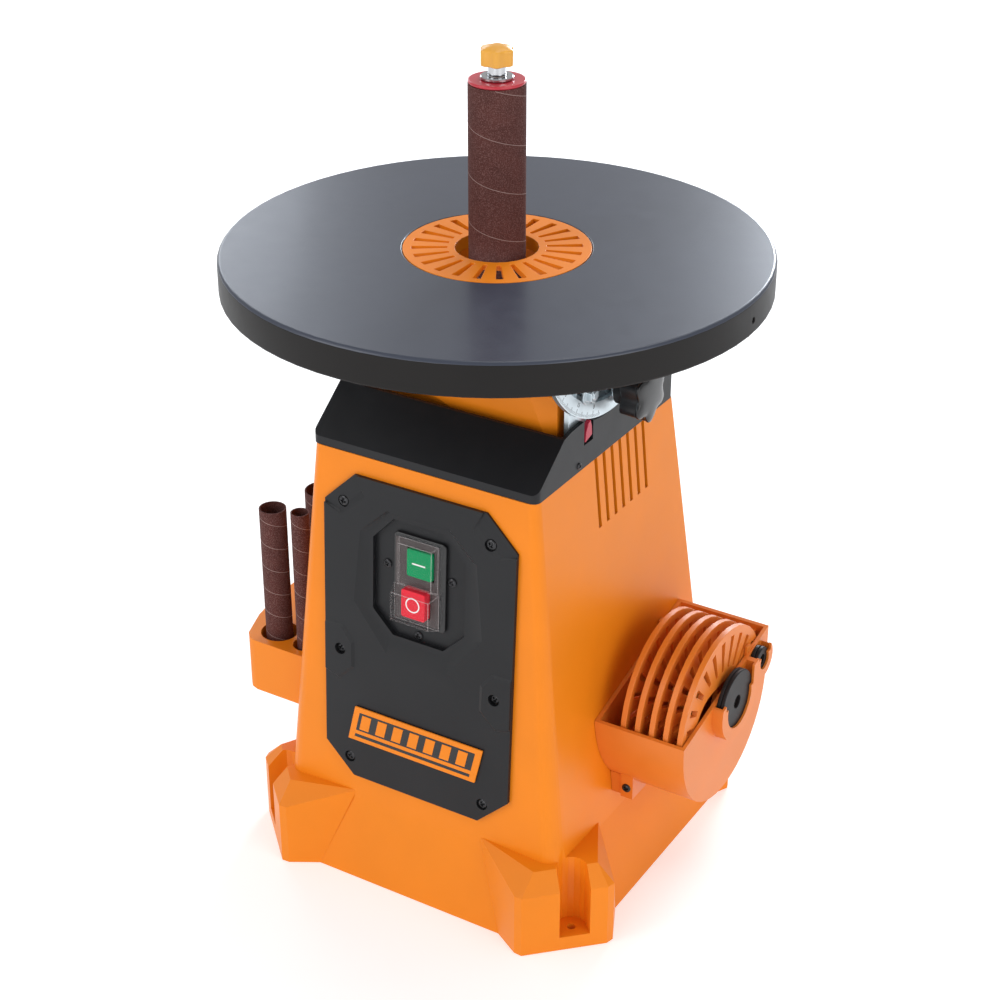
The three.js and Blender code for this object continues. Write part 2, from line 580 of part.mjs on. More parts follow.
// ---------------------------------------------------------------- insert holder on the right
// Everything outboard of the body's sloping side wall, pushed out by a clearance.
function outboard(side, clearance, far) {
  const x = (z) => side * (bodySide(z) + clearance);
  return hull([[x(60), -200, 60], [x(60), 200, 60], [x(240), -200, 240], [x(240), 200, 240],
    [side * far, -200, 60], [side * far, 200, 60], [side * far, -200, 240], [side * far, 200, 240]]);
}

function trayOutline(inset) {
  return [...arc(HOLDER_Y, HOLDER_Z, HOLDER_R - inset, 180, 360, 24),
    [HOLDER_Y + HOLDER_R - inset, 175 + inset], [HOLDER_Y - HOLDER_R + inset, 145 + inset * 2]];
}

// Open-topped pocket for two rubber washers: its outer block, and what is cut from it.
const washerBlock = ({ y, z, r }) => barX(r + 4, y, z, HOLDER_X - 2, POCKET_X, 36);
const washerWell = ({ y, z, r }) =>
  join(barX(r + 1.2, y, z, HOLDER_X + 0.4, POCKET_X - 1.7, 36),
    block(HOLDER_X + 0.4, POCKET_X - 1.7, y - r - 1.2, y + r + 1.2, z, 220));
const washerMouth = ({ y, z, mouth }) =>
  join(barX(mouth, y, z, 180, 190, 32), block(180, 190, y - mouth - 3, y + mouth + 3, z + 4, 220));

// Slotted shelf that keeps the stored inserts apart.
function insertComb() {
  const shelf = block(95, HOLDER_X - 1, 53, 84.7, 167, 170.4);
  const rail = block(95, HOLDER_X - 1, 53, 58.5, 165, 174);
  const slots = Array.from({ length: 5 }, (_, i) => {
    const x = INSERT_X + INSERT_PITCH * i;
    return block(x - 2.6, x + 2.6, 40, 84.1, 160, 180);
  });
  return common(cut(join(shelf, rail), ...slots), outboard(1, 1, 300));
}

function insertHolder() {
  const tray = slabX(trayOutline(0), 90, HOLDER_X);
  const cheek = block(HOLDER_X - 2, POCKET_X, 44.5, 54.5, 148, 175);
  const above = slabX([[-60, 141.6], [92, 175.9], [92, 260], [-60, 260]], 60, HOLDER_X + 20);
  const room = slabX(trayOutline(HOLDER_WALL), 60, HOLDER_X - HOLDER_WALL);
  const cavity = common(room, outboard(1, WALL + GAP, 300));
  const ledge = block(104, 123, -29, -17, 77.5, 94);
  const lug = block(121.5, 131, -31, -10, 77, 103);
  const lugHole = barY(2.2, 126, 85.5, -40, -20, 12);
  const blocks = WASHER_POCKETS.map(washerBlock);
  const tub = cut(join(tray, ...blocks, cheek, ledge, lug), above, cavity);
  const wells = WASHER_POCKETS.flatMap((pocket) => [washerWell(pocket), washerMouth(pocket)]);
  return common(cut(join(tub, insertComb()), ...wells, lugHole), outboard(1, GAP, 300));
}

// ---------------------------------------------------------------- sleeve rack on the left
const SLEEVES = [
  { name: 'stored_sleeve_19', x: -145.6, y: -71, r: 9.9, hole: 14, floor: RACK_FLOOR },
  { name: 'stored_sleeve_13', x: -118.2, y: -75, r: 6.8, hole: 10, floor: RACK_FLOOR + 6 },
  { name: 'stored_sleeve_26', x: -131, y: -30, r: 13, hole: 17, floor: RACK_FLOOR },
];

function sleeveRack() {
  const outline = [[-90, -91], [-154, -91], [-160, -89], [-164.5, -84], [-173, -60], [-178.5, -30], [-178.5, 16],
    [-173, 46], [-164.5, 70], [-160, 75], [-154, 77], [-90, 77]].reverse();
  const rackBlock = slabZ(outline, RACK_TOP - 43, RACK_TOP);
  const holes = SLEEVES.map(({ x, y, hole, floor }) => barZ(hole, x, y, floor, 170, 32));
  const spare = [barZ(22, -142, 28, RACK_FLOOR, 170, 36)];
  return common(cut(rackBlock, ...holes, ...spare), outboard(-1, GAP, 300));
}

// ---------------------------------------------------------------- assembly
place('body_shell', bodyShell(), ORANGE);
place('base_plate', basePlate(), DARK_STEEL);
place('top_cover', topCover(), BLACK);
place('frame_plate', framePlate(), CAST);

place('front_panel', frontPanel(), BLACK, frontPlane);
place('switch_body', switchBody(), BLACK, frontPlane);
place('start_button', switchButton(START), GREEN, frontPlane);
place('stop_button', switchButton(STOP), RED, frontPlane);
place('switch_boot', switchBoot(), CLEAR, frontPlane);
place('badge_plate', badge(), ORANGE, frontPlane);

place('table', table(), TABLE_GREY);
place('table_insert', tableInsert(INSERT_HOLE, 0, 33, 48, true), ORANGE)
  .position.set(0, 0, TABLE_TOP);
for (const [label, side] of [['right', 1], ['left', -1]]) {
  place(`trunnion_${label}`, trunnion(side), ZINC);
  place(`trunnion_bracket_${label}`, trunnionBracket(side), ZINC);
  place(`guide_bolt_${label}`, guideBolt(side), STEEL);
  place(`lock_knob_${label}`, lockKnob(side), BLACK);
  place(`guide_rod_${label}`, guideRod(side), STEEL);
}
place('tilt_pointer', tiltPointer(), RED);
place('dust_hood', dustHood(), ORANGE);
place('dust_port', dustPort(), BLACK);

place('spindle_shaft', spindleShaft(), STEEL);
place('rubber_drum', rubberDrum(), RED_RUBBER);
place('sanding_sleeve', sandingSleeve(), GRIT);
place('spindle_washer', spindleWasher(), ZINC);
place('spindle_knob', spindleKnob(), YELLOW);

place('motor_carriage', carriage(), CAST);
place('upper_bearing', bearing(17.5, 8.35, 296.4, 308), STEEL);
place('lower_bearing', bearing(14, 8.35, 148, 158.6), STEEL);
place('motor_casing', ring(46, 43.5, 160, 283.6, 32), DARK_STEEL);
place('motor_stator', ring(43, 27.4, 185, 250, 32), COPPER);
place('motor_rotor', ring(26.8, 8.35, 182, 253, 32), STEEL);
place('motor_fan', rotorFan(), BLACK);
place('motor_end_bell', lowerEndBell(), CAST);
place('worm_wheel', wormWheel(), BRONZE);
place('lower_frame', lowerFrame(), DARK_STEEL);
place('start_capacitor', barZ(17, -45, -66, 4.4, 66, 28), BLACK);
place('cord_gland', cut(join(barY(10, 60, 90, 121, 124, 6), barY(7, 60, 90, 121, 133, 20),
  barY(6, 60, 90, 112, 122, 20)), barY(4, 60, 90, 105, 140, 16)), BLACK);

place('insert_holder', insertHolder(), ORANGE);
const STORED = [
  { hole: 12, reach: 0, start: 30 },
  { hole: 17, reach: 0, start: 30 },
  { hole: 22, reach: 0, start: 33 },
  { hole: 16, reach: 14, start: 33 },
  { hole: 24, reach: 18, start: 33 },
];
STORED.forEach(({ hole, reach, start }, i) => {
  const insert = place(`stored_insert_${i + 1}`, storedDisc(hole, reach, start), ORANGE);
  insert.position.set(INSERT_X + INSERT_PITCH * i, HOLDER_Y, HOLDER_Z);
});

// Stored inserts stand on edge: thin discs whose collar points at the body.
function storedDisc(hole, reach, start) {
  return tableInsert(hole, reach, start, 36).rotateY(Math.PI / 2).translate(2, 0, 0);
}

const flatWasher = (outer, inner) => ring(outer, inner, 0, 2.7, 24).rotateY(Math.PI / 2);
WASHER_POCKETS.forEach(({ y, z, r }, i) => {
  for (const number of [1, 2]) {
    place(`${['large', 'small'][i]}_washer_${number}`, flatWasher(r - 0.2, [5, 4][i]), BLACK_RUBBER)
      .position.set(HOLDER_X + 0.7 + 3 * (number - 1), y, z);
  }
});

place('sleeve_rack', sleeveRack(), ORANGE);
for (const { name, x, y, r, floor } of SLEEVES) {
  place(name, ring(r, r - 0.9, 0, SLEEVE_LENGTH, 28), GRIT).position.set(x, y, floor + GAP);
}

export default sander;
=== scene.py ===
"""Looks of an oscillating spindle sander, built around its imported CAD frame."""
import json
import math

import bmesh
import bpy
from mathutils import Matrix, Vector

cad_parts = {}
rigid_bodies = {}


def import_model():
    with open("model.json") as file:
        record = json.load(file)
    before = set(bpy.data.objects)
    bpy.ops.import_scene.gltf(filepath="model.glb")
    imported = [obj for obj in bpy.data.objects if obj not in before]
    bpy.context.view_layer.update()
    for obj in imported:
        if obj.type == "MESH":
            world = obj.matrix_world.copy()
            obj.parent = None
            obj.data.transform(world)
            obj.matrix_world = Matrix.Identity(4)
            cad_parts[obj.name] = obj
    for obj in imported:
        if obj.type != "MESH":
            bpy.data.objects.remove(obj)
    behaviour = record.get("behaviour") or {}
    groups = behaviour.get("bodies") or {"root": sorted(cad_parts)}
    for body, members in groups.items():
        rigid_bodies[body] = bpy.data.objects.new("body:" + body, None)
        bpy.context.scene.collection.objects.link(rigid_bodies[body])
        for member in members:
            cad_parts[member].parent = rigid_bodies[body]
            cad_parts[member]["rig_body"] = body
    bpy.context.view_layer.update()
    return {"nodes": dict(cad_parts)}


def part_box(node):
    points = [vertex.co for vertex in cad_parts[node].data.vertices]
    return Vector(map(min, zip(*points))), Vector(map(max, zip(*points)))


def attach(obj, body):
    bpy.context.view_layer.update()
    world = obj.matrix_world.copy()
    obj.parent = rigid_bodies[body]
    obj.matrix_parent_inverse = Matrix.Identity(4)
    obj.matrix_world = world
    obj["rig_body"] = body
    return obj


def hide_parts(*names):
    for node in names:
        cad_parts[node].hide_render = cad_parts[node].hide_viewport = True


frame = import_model()
MM = 0.001
NODES = frame["nodes"]


# ------------------------------------------------------------------ materials
def add_node(tree, kind, **inputs):
    node = tree.nodes.new(kind)
    for name, value in inputs.items():
        node.inputs[name].default_value = value
    return node


def finish(name, color, roughness, metallic=0.0, vary=0.05, patch=18.0, grain=900.0, bump=0.01,
           rough_vary=0.05, stretch=(1, 1, 1), coat=0.0, specular=0.5, speck=None, alpha=1.0):
    """A procedural surface: cloudy colour, uneven gloss and a fine grain, sizes in metres."""
    material = bpy.data.materials.new(name)
    material.use_nodes = True
    tree = material.node_tree
    link = tree.links.new
    shader = tree.nodes["Principled BSDF"]
    coords = tree.nodes.new("ShaderNodeTexCoord")
    place = tree.nodes.new("ShaderNodeMapping")
    place.inputs["Scale"].default_value = stretch
    link(coords.outputs["Object"], place.inputs["Vector"])

    cloud = add_node(tree, "ShaderNodeTexNoise", Scale=patch, Detail=3.0)
    link(coords.outputs["Object"], cloud.inputs["Vector"])
    ramp = tree.nodes.new("ShaderNodeValToRGB")
    dark, light = ramp.color_ramp.elements
    dark.position, light.position = 0.3, 0.7
    dark.color = [c * (1 - vary) for c in color] + [1]
    light.color = [min(1.0, c * (1 + vary)) for c in color] + [1]
    link(cloud.outputs["Fac"], ramp.inputs["Fac"])
    colour = ramp.outputs["Color"]

    fine = add_node(tree, "ShaderNodeTexNoise", Scale=grain, Detail=2.0)
    link(place.outputs["Vector"], fine.inputs["Vector"])
    if speck:
        blend = tree.nodes.new("ShaderNodeMix")
        blend.data_type = "RGBA"
        mask = tree.nodes.new("ShaderNodeMapRange")
        mask.inputs["From Min"].default_value = 0.48
        mask.inputs["From Max"].default_value = 0.66
        link(fine.outputs["Fac"], mask.inputs["Value"])
        link(mask.outputs["Result"], blend.inputs["Factor"])
        link(colour, blend.inputs[6])
        blend.inputs[7].default_value = list(speck) + [1]
        colour = blend.outputs[2]
    link(colour, shader.inputs["Base Color"])

    gloss = add_node(tree, "ShaderNodeTexNoise", Scale=patch * 4, Detail=4.0)
    link(place.outputs["Vector"], gloss.inputs["Vector"])
    span = tree.nodes.new("ShaderNodeMapRange")
    span.inputs["To Min"].default_value = max(0.02, roughness - rough_vary)
    span.inputs["To Max"].default_value = min(1.0, roughness + rough_vary)
    link(gloss.outputs["Fac"], span.inputs["Value"])
    link(span.outputs["Result"], shader.inputs["Roughness"])

    relief = tree.nodes.new("ShaderNodeBump")
    relief.inputs["Strength"].default_value = 0.6
    relief.inputs["Distance"].default_value = bump * MM
    link(fine.outputs["Fac"], relief.inputs["Height"])
    link(relief.outputs["Normal"], shader.inputs["Normal"])

    shader.inputs["Metallic"].default_value = metallic
    shader.inputs["Specular IOR Level"].default_value = specular
    shader.inputs["Coat Weight"].default_value = coat
    shader.inputs["Coat Roughness"].default_value = 0.12
    shader.inputs["Alpha"].default_value = alpha
    return material


ORANGE = finish("orange moulding", (0.81, 0.222, 0.008), 0.38, vary=0.03, bump=0.012, specular=0.22)
ORANGE_PALE = finish("orange polypropylene", (0.74, 0.195, 0.022), 0.38, vary=0.05, bump=0.012, specular=0.4)
BLACK = finish("black moulding", (0.0115, 0.0118, 0.0135), 0.42, vary=0.12, grain=1400, bump=0.02,
               specular=0.26)
BLACK_GLOSS = finish("black gloss moulding", (0.011, 0.011, 0.012), 0.25, vary=0.1, bump=0.006)
TABLE_TOP = finish("table face coating", (0.033, 0.040, 0.062), 0.32, vary=0.05, grain=1100, bump=0.05,
                   rough_vary=0.04, coat=0.12)
TABLE_EDGE = finish("table edge coating", (0.009, 0.0078, 0.0075), 0.46, vary=0.1, grain=1500, bump=0.03,
                    specular=0.2)
ZINC = finish("bright zinc plate", (0.60, 0.67, 0.71), 0.30, metallic=0.85, vary=0.12, patch=60, bump=0.01)
CHROME = finish("polished steel", (0.52, 0.53, 0.55), 0.12, metallic=1.0, vary=0.04, bump=0.002,
                rough_vary=0.03)
STEEL = finish("ground steel", (0.50, 0.51, 0.53), 0.28, metallic=1.0, vary=0.08, grain=600,
               stretch=(1, 1, 8), bump=0.006)
SCREW = finish("black oxide screw", (0.045, 0.045, 0.048), 0.30, metallic=0.8, vary=0.2, bump=0.01)
DARK_STEEL = finish("painted steel", (0.10, 0.10, 0.11), 0.5, metallic=0.3, vary=0.1, bump=0.02)
CAST = finish("cast aluminium", (0.46, 0.46, 0.47), 0.55, metallic=0.8, vary=0.12, grain=500, bump=0.06)
RED_RUBBER = finish("red rubber", (0.50, 0.018, 0.036), 0.34, vary=0.06, bump=0.006, coat=0.2)
BLACK_RUBBER = finish("black rubber", (0.012, 0.012, 0.013), 0.45, vary=0.1, bump=0.01, specular=0.22)
GRIT = finish("aluminium oxide cloth", (0.078, 0.024, 0.020), 0.82, vary=0.14, patch=90, grain=1500,
              bump=0.22, rough_vary=0.1, speck=(0.16, 0.075, 0.068), specular=0.25)
SEAM = finish("sleeve lap seam", (0.33, 0.22, 0.20), 0.8, vary=0.12, patch=200, bump=0.02)
YELLOW = finish("yellow moulding", (0.78, 0.37, 0.040), 0.33, vary=0.04, bump=0.008)
GREEN = finish("green button", (0.0, 0.27, 0.095), 0.33, vary=0.05, bump=0.006, specular=0.15)
RED = finish("red button", (0.72, 0.024, 0.045), 0.33, vary=0.05, bump=0.006, specular=0.15)
POINTER = finish("pointer red", (0.45, 0.02, 0.05), 0.4, vary=0.08, bump=0.01)
WHITE_INK = finish("white print", (0.85, 0.85, 0.85), 0.5, vary=0.03, bump=0.004)
DARK_INK = finish("dark print", (0.03, 0.03, 0.035), 0.5, vary=0.1, bump=0.004)
CLEAR = finish("clear boot", (0.20, 0.17, 0.17), 0.10, vary=0.06, bump=0.006, alpha=0.03, specular=0.12)
# Pale, more opaque skin for the boot's rounded edges: a painted highlight where the clear plastic's edges catch
# the light.
CLEAR_EDGE_HIGHLIGHT = finish("clear boot edge highlight", (0.50, 0.46, 0.46), 0.15, vary=0.1, bump=0.006, alpha=0.35)
BOOT_BED = finish("brown grey switch bed", (0.055, 0.042, 0.042), 0.5, vary=0.1, bump=0.02)
COPPER = finish("varnished copper", (0.5, 0.20, 0.07), 0.4, metallic=0.7, vary=0.15, bump=0.03)
BRONZE = finish("machined bronze", (0.5, 0.36, 0.12), 0.32, metallic=1.0, vary=0.08, bump=0.01)


# ------------------------------------------------------------------ piece builders
def piece(name, bm, material, body, replaces=(), sharp=32.0, second=None):
    bmesh.ops.recalc_face_normals(bm, faces=bm.faces)
    limit = math.radians(sharp)
    for edge in bm.edges:
        edge.smooth = not (len(edge.link_faces) == 2 and edge.calc_face_angle(0.0) > limit)
    for face in bm.faces:
        face.smooth = True
    mesh = bpy.data.meshes.new(name)
    bm.to_mesh(mesh)
    bm.free()
    mesh.materials.append(material)
    if second:
        mesh.materials.append(second)
    obj = bpy.data.objects.new(name, mesh)
    bpy.context.scene.collection.objects.link(obj)
    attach(obj, body)
    if replaces:
        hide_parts(*replaces)
    return obj


def soften(obj, width, segments=2, angle=32.0):
    """Rounds the sharp edges of a piece."""
    bevel = obj.modifiers.new("rounding", "BEVEL")
    bevel.width = width * MM
    bevel.segments = segments
    bevel.limit_method = "ANGLE"
    bevel.angle_limit = math.radians(angle)
    bevel.miter_outer = "MITER_ARC"
    bevel.use_clamp_overlap = True
    level = obj.modifiers.new("flat faces", "WEIGHTED_NORMAL")
    level.mode = "FACE_AREA"
    level.weight = 100
    level.keep_sharp = True
    return obj


def refine(node, material, width=0.6, segments=2, angle=32.0, second=None, is_second=None):
    """A finished skin on a CAD node: edges rounded, shading smooth, a second material where is_second says."""
    source = NODES[node]
    bm = bmesh.new()
    bm.from_mesh(source.data)
    bmesh.ops.remove_doubles(bm, verts=bm.verts, dist=4e-6)
    for face in bm.faces:
        face.material_index = 1 if is_second and is_second(face) else 0
    skin = piece(node + "_skin", bm, material, source["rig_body"], replaces=(node,), sharp=angle,
                 second=second)
    if width:
        soften(skin, width, segments, angle)
    return skin


def ring_mesh(bm, rings, cap=True):
    """Bridges a list of closed vertex rings of equal length, and closes both ends if cap is set."""
    made = [[bm.verts.new(p) for p in ring] for ring in rings]
    count = len(made[0])
    for low, high in zip(made, made[1:]):
        for i in range(count):
            j = (i + 1) % count
            bm.faces.new((low[i], low[j], high[j], high[i]))
    if cap:
        bm.faces.new(list(reversed(made[0])))
        bm.faces.new(made[-1])
    return made


AXES = {
    "Z": Matrix.Identity(3),
    "X": Matrix(((0, 0, 1), (1, 0, 0), (0, 1, 0))),
    "Y": Matrix(((1, 0, 0), (0, 0, 1), (0, 1, 0))),
}


def turned(name, profile, centre, material, body, axis="Z", steps=72, flip=1, replaces=(), lobes=None,
           sharp=32.0):
    """Revolves (radius, height) in mm about an axis through centre; lobes(angle, radius) may modulate."""
    bm = bmesh.new()
    turn = AXES[axis]
    rings = []
    for radius, height in profile:
        ring = []
        for i in range(steps):
            a = 2 * math.pi * i / steps
            r = lobes(a, radius) if lobes else radius
            point = turn @ Vector((r * math.cos(a), r * math.sin(a), height))
            if axis == "X":
                point.x *= flip
            ring.append((Vector(centre) + point) * MM)
        rings.append(ring)
    solid = profile[0] != profile[-1]
    made = ring_mesh(bm, rings if solid else rings[:-1], cap=solid)
    if not solid:
        first, last = made[0], made[-1]
        for i in range(steps):
            j = (i + 1) % steps
            bm.faces.new((last[i], last[j], first[j], first[i]))
    return piece(name, bm, material, body, replaces=replaces, sharp=sharp)


def arc_profile(cx, cy, radius, start, stop, steps=5):
    """Points of a fillet in (radius, height), angles in degrees."""
    angles = [math.radians(start + (stop - start) * i / steps) for i in range(steps + 1)]
    return [(cx + radius * math.cos(a), cy + radius * math.sin(a)) for a in angles]


def frame_of(normal):
    """Rotation that takes +Z to the normal, with X kept level."""
    n = Vector(normal).normalized()
    side = Vector((0, 0, 1)).cross(n)
    side = side.normalized() if side.length > 0.01 else Vector((1, 0, 0))
    return Matrix((side, n.cross(side), n)).transposed()


# Proportions of a screw head, as shares of its radius or height.
HEAD_HEIGHT = 0.55
HEAD_DOME = 0.93
RECESS_ARM = 0.16
RECESS_REACH = 0.62
RECESS_DEPTH = 0.75


def screw(name, at, normal, radius, body, turn=0.4):
    """Pan head with a cross recess, its underside at the point."""
    height = radius * HEAD_HEIGHT
    bm = bmesh.new()
    basis = frame_of(normal)
    steps = 48
    levels = (0.12, 0.24, 0.36, 0.48, 0.6, 0.72, 0.82, 0.9, 0.96, 1.0)
    rings = []
    for level in levels:
        ring = []
        for i in range(steps):
            a = 2 * math.pi * i / steps + turn
            r = level * radius
            u, v = r * math.cos(a - turn), r * math.sin(a - turn)
            z = height * math.sqrt(max(0.0, 1 - (level * HEAD_DOME) ** 2))
            arm = RECESS_ARM * radius
            if (abs(u) < arm or abs(v) < arm) and level < RECESS_REACH:
                z -= height * RECESS_DEPTH * (1 - (level / RECESS_REACH) ** 3)
            local = Vector((r * math.cos(a), r * math.sin(a), z))
            ring.append((Vector(at) + basis @ local) * MM)
        rings.append(ring)
    base = [(Vector(at) + basis @ Vector((radius * math.cos(2 * math.pi * i / steps + turn),
                                          radius * math.sin(2 * math.pi * i / steps + turn), 0))) * MM
            for i in range(steps)]
    ring_mesh(bm, rings + [base])
    return piece(name, bm, SCREW, body, sharp=50)


def plate(name, outline, at, basis, thickness, material, body, replaces=(), width=0.0, segments=2):
    """Flat piece of an outline in mm, in the plane of the basis, raised along its third axis."""
    bm = bmesh.new()
    rings = [[(Vector(at) + basis @ Vector((u, v, h))) * MM for u, v in outline] for h in (0, thickness)]
    ring_mesh(bm, rings)
    obj = piece(name, bm, material, body, replaces=replaces)
    return soften(obj, width, segments) if width else obj


def middle(node):
    low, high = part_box(node)
    return (low + high) / 2 / MM


# ------------------------------------------------------------------ body, cover, panel
refine("body_shell", ORANGE, width=1.7, segments=3, angle=20)


# The shell's side and rear walls, which lean in towards the top.
BODY_TOP = 333
SIDE_AT_TOP = 87.75
SIDE_TAPER = 0.10
REAR_FOOT = 128.8
REAR_TAPER = 0.104
WEB_LOW, WEB_HIGH = 57, 88


def rear_corner(side, sign):
    """Inner web of the shell's rear corner, over the bolt channel of the rear foot."""
    wall = 2.2
    run = 16
    inset = 0.4       # behind the shell's outer face
    corner = 4.1      # where the rounded corner starts, and how deep its middle point lies
    corner_mid = 1.3
    inner_corner = 2.5
    rings = []
    for z in (WEB_LOW, WEB_HIGH):
        x = SIDE_AT_TOP + SIDE_TAPER * (BODY_TOP - z) - inset
        y = REAR_FOOT - REAR_TAPER * z - inset
        outer = [(x - run, y), (x - corner, y), (x - corner_mid, y - corner_mid), (x, y - corner),
                 (x, y - run)]
        inner = [(x - wall, y - run), (x - wall - inner_corner, y - wall - inner_corner),
                 (x - run, y - wall)]
        rings.append([Vector((sign * px, py, z)) * MM for px, py in outer + inner])
    bm = bmesh.new()
    ring_mesh(bm, rings)
    piece(f"rear_corner_{side}", bm, ORANGE, "frame")


rear_corner("right", 1)
rear_corner("left", -1)
refine("base_plate", DARK_STEEL, width=0.4)
refine("top_cover", BLACK, width=1.1, segments=3, angle=24)
refine("frame_plate", CAST, width=0.5)
refine("front_panel", BLACK, width=0.6, segments=2, angle=14)
refine("switch_body", BLACK_GLOSS, width=0.4)
refine("start_button", GREEN, width=0.9, segments=3)
refine("stop_button", RED, width=0.9, segments=3)

# The front panel's plane: it leans back with the body's front wall.
FRONT_TAPER = 0.055
FRONT_FOOT = -114.6
FRONT_HINGE = 200                # height at which distance up the leaning plane equals height
LEAN = math.atan(FRONT_TAPER)
FRONT_BASIS = Matrix.Rotation(-LEAN, 3, "X") @ AXES["Y"]
FRONT_BASIS = Matrix((FRONT_BASIS.col[0], FRONT_BASIS.col[1], -FRONT_BASIS.col[2])).transposed()
FRONT_OUT = Vector(FRONT_BASIS.col[2])
FRONT_UP = Vector(FRONT_BASIS.col[1])


def on_front(x, z, out=0.0):
    """Point of the leaning front plane, z measured up the plane from the hinge height."""
    pivot = Vector((0, FRONT_FOOT + FRONT_TAPER * FRONT_HINGE, FRONT_HINGE))
    return pivot + Vector((x, 0, 0)) + FRONT_UP * (z - FRONT_HINGE) + FRONT_OUT * out


PANEL_SCREWS = ((56.3, 297.5), (-61, 297.5), (63, 182.6), (-63, 182.6), (55.5, 95.5), (-55.5, 95.5))
for number, (x, z) in enumerate(PANEL_SCREWS, 1):
    screw(f"panel_screw_{number}", on_front(x, z, 1.15), FRONT_OUT, 3.7, "frame", turn=0.7 * number)
for number, (x, z) in enumerate(((-27.3, 258), (24.6, 258.3), (-1.5, 209.4)), 1):
    screw(f"switch_screw_{number}", on_front(x, z, -2.1), FRONT_OUT, 3.2, "frame", turn=0.5 * number)


def printed_ring(name, x, z, out, outer, inner, body):
    bm = bmesh.new()
    steps = 48
    loops = []
    for radius, h in ((inner, 0), (outer, 0), (outer, 0.12), (inner, 0.12)):
        loops.append([on_front(x + radius * math.cos(2 * math.pi * i / steps),
                               z + radius * math.sin(2 * math.pi * i / steps), out + h) * MM
                      for i in range(steps)])
    made = ring_mesh(bm, loops, cap=False)
    for i in range(steps):
        j = (i + 1) % steps
        bm.faces.new((made[-1][i], made[-1][j], made[0][j], made[0][i]))
    return piece(name, bm, WHITE_INK, body)


plate("start_mark", [(-5.2, -0.55), (5.2, -0.55), (5.2, 0.55), (-5.2, 0.55)], on_front(0.6, 266.2, 2.6),
      FRONT_BASIS, 0.12, WHITE_INK, "start")
printed_ring("stop_mark", -1.6, 236.6, 6.4, 5.6, 4.7, "stop")


def boot_shell(name, x0, x1, z0, z1, rise, inset):
    """Clear stepped cover over the push buttons, thin walled and open towards the switch."""
    bm = bmesh.new()

    def loop(grow, out):
        left, right, low, high = x0 - grow, x1 + grow, z0 - grow, z1 + grow
        corners = ((left, low), (right, low), (right, high), (left, high))
        return [on_front(x, z, out) * MM for x, z in corners]

    rings = [loop(0, 0.75), loop(-inset, rise), loop(-inset - 0.5, rise - 0.5), loop(-0.5, 0.75)]
    made = [[bm.verts.new(point) for point in ring] for ring in rings]
    for low, high in ((0, 1), (2, 3), (3, 0)):
        for i in range(4):
            j = (i + 1) % 4
            bm.faces.new((made[low][i], made[low][j], made[high][j], made[high][i]))
    bm.faces.new(made[1])
    bm.faces.new(list(reversed(made[2])))
    shell = piece(name, bm, CLEAR, "frame", replaces=("switch_boot",), second=CLEAR_EDGE_HIGHLIGHT)
    soften(shell, 0.55, 3)
    # The rounded edge faces get the painted edge highlight material.
    shell.modifiers["rounding"].material = 1
    return shell


boot_shell("switch_boot_upper", -16.5, 15.2, 247.4, 283.0, 6.4, 2.2)
boot_shell("switch_boot_lower", -20.3, 16.3, 219.6, 247.0, 10.0, 3.0)
# The brown-grey bed seen through the boot, as strips that leave both button openings free.
BED_STRIPS = {
    "low": (-19.4, 15.8, 20.6, 25.3), "middle": (-19.4, 15.8, 47.7, 55.3), "high": (-19.4, 15.8, 77.3, 82.4),
    "stop_left": (-19.4, -11.6, 25.3, 47.7), "stop_right": (8.8, 15.8, 25.3, 47.7),
    "start_left": (-19.4, -9.8, 55.3, 77.3), "start_right": (11.8, 15.8, 55.3, 77.3),
}
for label, (x0, x1, z0, z1) in BED_STRIPS.items():
    plate(f"switch_bed_{label}", [(x0, z0), (x1, z0), (x1, z1), (x0, z1)],
          on_front(0, FRONT_HINGE, 0.42), FRONT_BASIS, 0.12, BOOT_BED, "frame")

# A plain slanted badge: orange plate with a black inlay and two bars.
BADGE = [(-56, -88), (50, -88), (56, -60), (-50, -60)]
plate("badge_plate_skin", BADGE, on_front(0, FRONT_HINGE, 3.6), FRONT_BASIS, 1.5, ORANGE, "frame",
      replaces=("badge_plate",), width=0.5)
for number, (low, high, inset) in enumerate(((-84.5, -82.0, 5.0), (-79.0, -64.0, 5.0)), 1):
    lean_x = 6 / 28
    shift_low, shift_high = (low + 88) * lean_x, (high + 88) * lean_x
    bar = [(-56 + inset + shift_low, low), (50 - inset + shift_low, low),
           (50 - inset + shift_high, high), (-56 + inset + shift_high, high)]
    plate(f"badge_inlay_{number}", bar, on_front(0, FRONT_HINGE, 5.05), FRONT_BASIS, 0.12, BLACK_GLOSS, "frame")
for number in range(7):
    x0 = -46 + number * 13.4
    bar = [(x0, -77.5), (x0 + 7.6, -77.5), (x0 + 10.2, -65.5), (x0 + 2.6, -65.5)]
    plate(f"badge_bar_{number + 1}", bar, on_front(0, FRONT_HINGE, 5.15), FRONT_BASIS, 0.25, ORANGE, "frame")

screw("cover_screw", (88.0, -41.5, 337.8), (1, 0, 0), 2.4, "frame")
screw("holder_screw", (126, -31.0, 85.5), (0, -1, 0), 3.3, "frame")

# ------------------------------------------------------------------ table, insert, trunnions
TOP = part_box("table")[1].z
refine("table", TABLE_EDGE, width=0.7, segments=3, angle=40, second=TABLE_TOP,
       is_second=lambda face: face.normal.z > 0.5 and face.calc_center_median().z > TOP - 1.2 * MM)
refine("table_insert", ORANGE, width=0.45, segments=2, angle=30)
for side in ("right", "left"):
    refine(f"trunnion_{side}", ZINC, width=0.35, angle=30)
    refine(f"trunnion_bracket_{side}", ZINC, width=0.4, angle=30)
    refine(f"guide_bolt_{side}", ZINC, width=0.35, angle=40)
    refine(f"guide_rod_{side}", STEEL, width=0.5, angle=40)
refine("tilt_pointer", POINTER, width=0.3)

